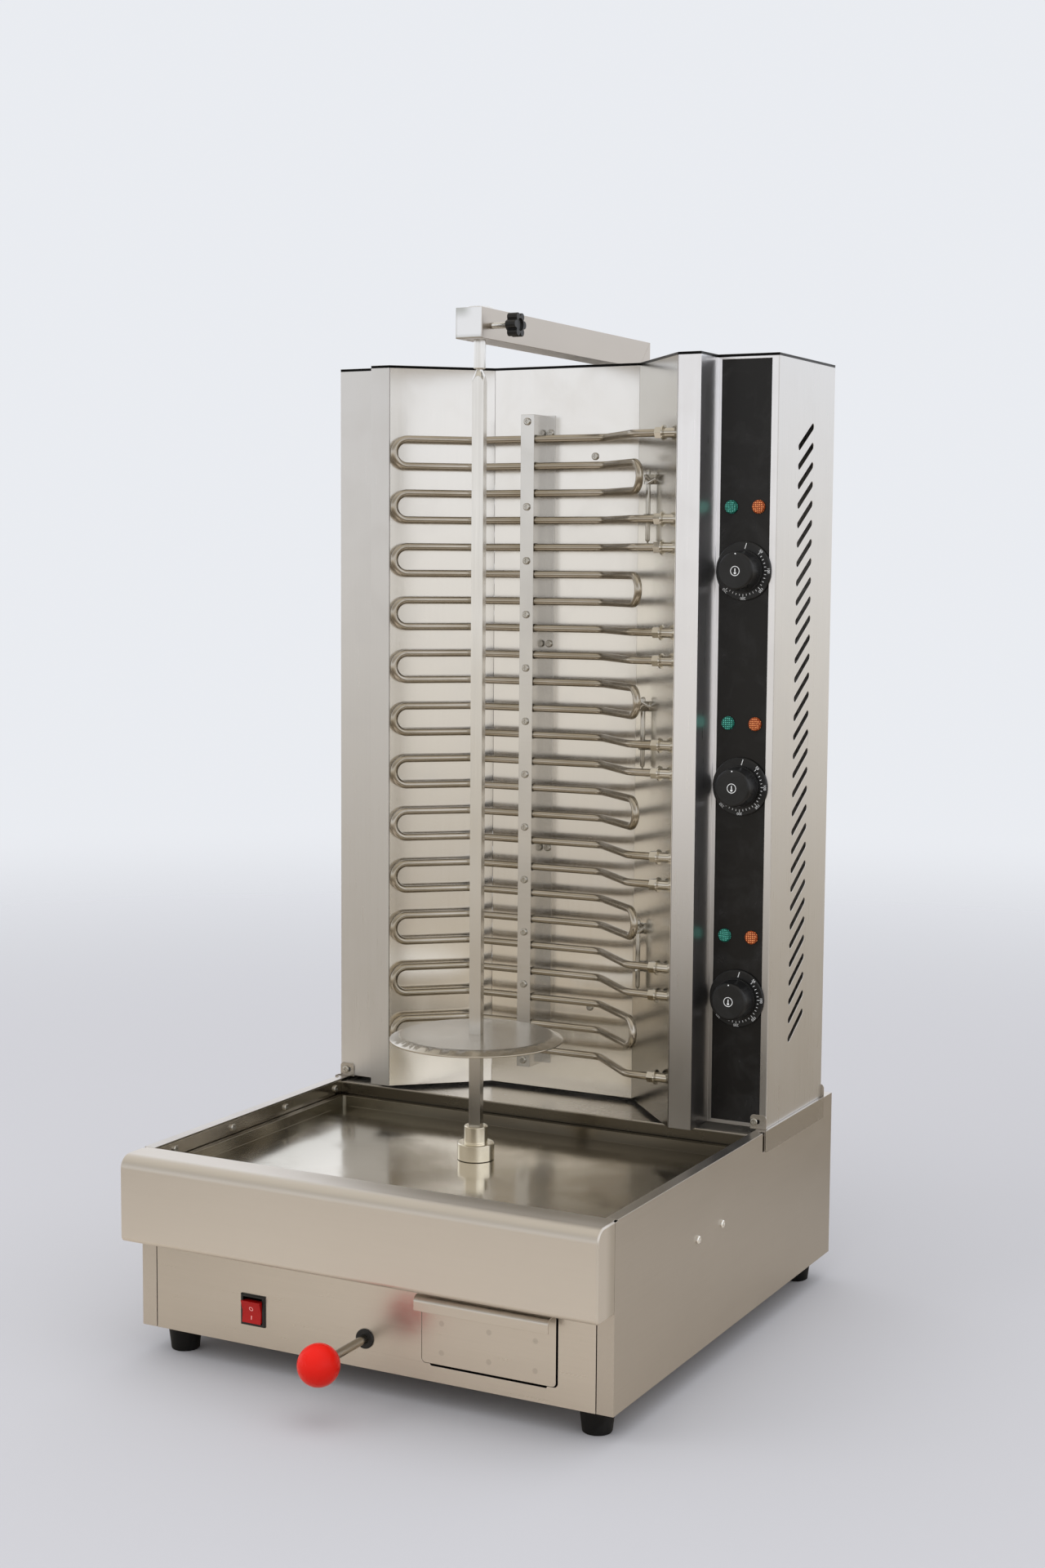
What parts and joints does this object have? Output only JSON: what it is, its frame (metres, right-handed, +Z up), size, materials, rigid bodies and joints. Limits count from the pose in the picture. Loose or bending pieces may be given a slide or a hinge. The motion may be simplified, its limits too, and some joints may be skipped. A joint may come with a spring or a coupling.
{
  "type": "doner kebab machine",
  "caption": "Counter-top electric kebab grill: low steel casing with lip, drip pan and drawer, heating column with tube elements and dials, turning spit, top arm.",
  "frame": {"origin": "on the ground, in the middle of the whole machine's footprint", "axes": "+X to the right seen from the front, -Y towards the user at the drawer and the dials, +Z up"},
  "size_m": [0.5246, 0.696, 1.0391],
  "materials": {
    "brushed_sheet": "brushed stainless steel sheet",
    "reflector_sheet": "bright rolled stainless sheet",
    "pan_sheet": "smooth stainless sheet, satin",
    "element_tube": "tube element, dull heat-marked steel",
    "bright_steel": "bright turned steel",
    "screws": "bright plated screws",
    "black_panel": "black satin fascia",
    "black_plastic": "black moulded plastic, slight gloss",
    "black_rubber": "black moulded rubber",
    "green_lens": "translucent green lens",
    "orange_lens": "translucent orange lens",
    "red_rocker": "translucent red rocker",
    "red_ball": "red moulded plastic, glossy",
    "galvanised": "zinc-plated steel",
    "motor_paint": "dark grey enamel",
    "brass": "brass",
    "ceramic_block": "white glazed block"
  },
  "bodies": {
    "chassis": {"base_floor": "galvanised", "base_side_left": "brushed_sheet", "base_side_right": "brushed_sheet", "front_panel": "brushed_sheet", "front_lip": "brushed_sheet", "base_rear_panel": "brushed_sheet", "well_frame": "pan_sheet", "rear_deck": "brushed_sheet", "drip_pan": "pan_sheet", "pan_fittings": "pan_sheet", "rubber_feet": "black_rubber", "foot_brackets": "brushed_sheet", "screws_and_bolts": "screws", "column_left_shell": "brushed_sheet", "column_right_shell": "brushed_sheet", "column_rear_cover": "brushed_sheet", "column_top_cover": "brushed_sheet", "reflector_back": "reflector_sheet", "reflector_left_wing": "reflector_sheet", "reflector_right_wing": "reflector_sheet", "control_fascia": "black_panel", "element_glands": "brass", "clamp_bracket": "reflector_sheet", "clamp_strip": "reflector_sheet", "thermostat_feelers": "bright_steel", "thermostat_bodies": "ceramic_block", "dial_rings": "black_plastic", "green_lamps": "green_lens", "orange_lamps": "orange_lens", "gear_motor": "motor_paint", "bearing_housing": "motor_paint", "top_arm": "brushed_sheet", "arm_post": "brushed_sheet", "post_strap": "brushed_sheet", "rod_bush": "black_plastic", "switch_frame": "black_plastic", "drawer_runners": "galvanised", "terminal_block": "ceramic_block", "cable_gland": "black_plastic", "heating_element_1": "element_tube", "heating_element_2": "element_tube", "heating_element_3": "element_tube", "heating_element_4": "element_tube", "heating_element_5": "element_tube", "heating_element_6": "element_tube"},
    "spit": {"drive_shaft": "bright_steel", "spit_socket": "bright_steel", "spit_rod": "bright_steel", "disc_pin": "bright_steel"},
    "disc": {"spit_disc": "bright_steel"},
    "pin": {"top_pin": "bright_steel"},
    "star": {"star_knob": "black_plastic"},
    "pull": {"pull_rod": "bright_steel", "ball_knob": "red_ball"},
    "drawer": {"drawer_front": "brushed_sheet", "drawer_tray": "brushed_sheet"},
    "rocker": {"switch_rocker": "red_rocker"},
    "knob_1": {"temperature_knob_1": "black_plastic"},
    "knob_2": {"temperature_knob_2": "black_plastic"},
    "knob_3": {"temperature_knob_3": "black_plastic"}
  },
  "joints": [
    {"name": "spit_turn", "type": "hinge", "parent": "chassis", "child": "spit", "pos_m": [0, -0.031, 0.328], "axis": [0, 0, 1], "continuous": true},
    {"name": "disc_slide", "type": "slide", "parent": "spit", "child": "disc", "axis": [0, 0, 1], "range_m": [0, 0.6]},
    {"name": "pin_slide", "type": "slide", "parent": "chassis", "child": "pin", "axis": [0, 0, 1], "range_m": [0, 0.03]},
    {"name": "star_turn", "type": "hinge", "parent": "chassis", "child": "star", "pos_m": [0.03, -0.031, 1.0205], "axis": [1, 0, 0], "range_deg": [0, 360]},
    {"name": "rod_slide", "type": "slide", "parent": "chassis", "child": "pull", "axis": [0, -1, 0], "range_m": [0, 0.02]},
    {"name": "drawer_slide", "type": "slide", "parent": "chassis", "child": "drawer", "axis": [0, -1, 0], "range_m": [0, 0.2]},
    {"name": "rocker_tilt", "type": "hinge", "parent": "chassis", "child": "rocker", "pos_m": [-0.127, -0.244, 0.0637], "axis": [1, 0, 0], "range_deg": [-14, 0]},
    {"name": "knob_1_turn", "type": "hinge", "parent": "chassis", "child": "knob_1", "pos_m": [0.223, 0.103, 0.7815], "axis": [0, 1, 0], "range_deg": [0, 270]},
    {"name": "knob_2_turn", "type": "hinge", "parent": "chassis", "child": "knob_2", "pos_m": [0.223, 0.103, 0.562], "axis": [0, 1, 0], "range_deg": [0, 270]},
    {"name": "knob_3_turn", "type": "hinge", "parent": "chassis", "child": "knob_3", "pos_m": [0.223, 0.103, 0.3425], "axis": [0, 1, 0], "range_deg": [0, 270]}
  ]
}
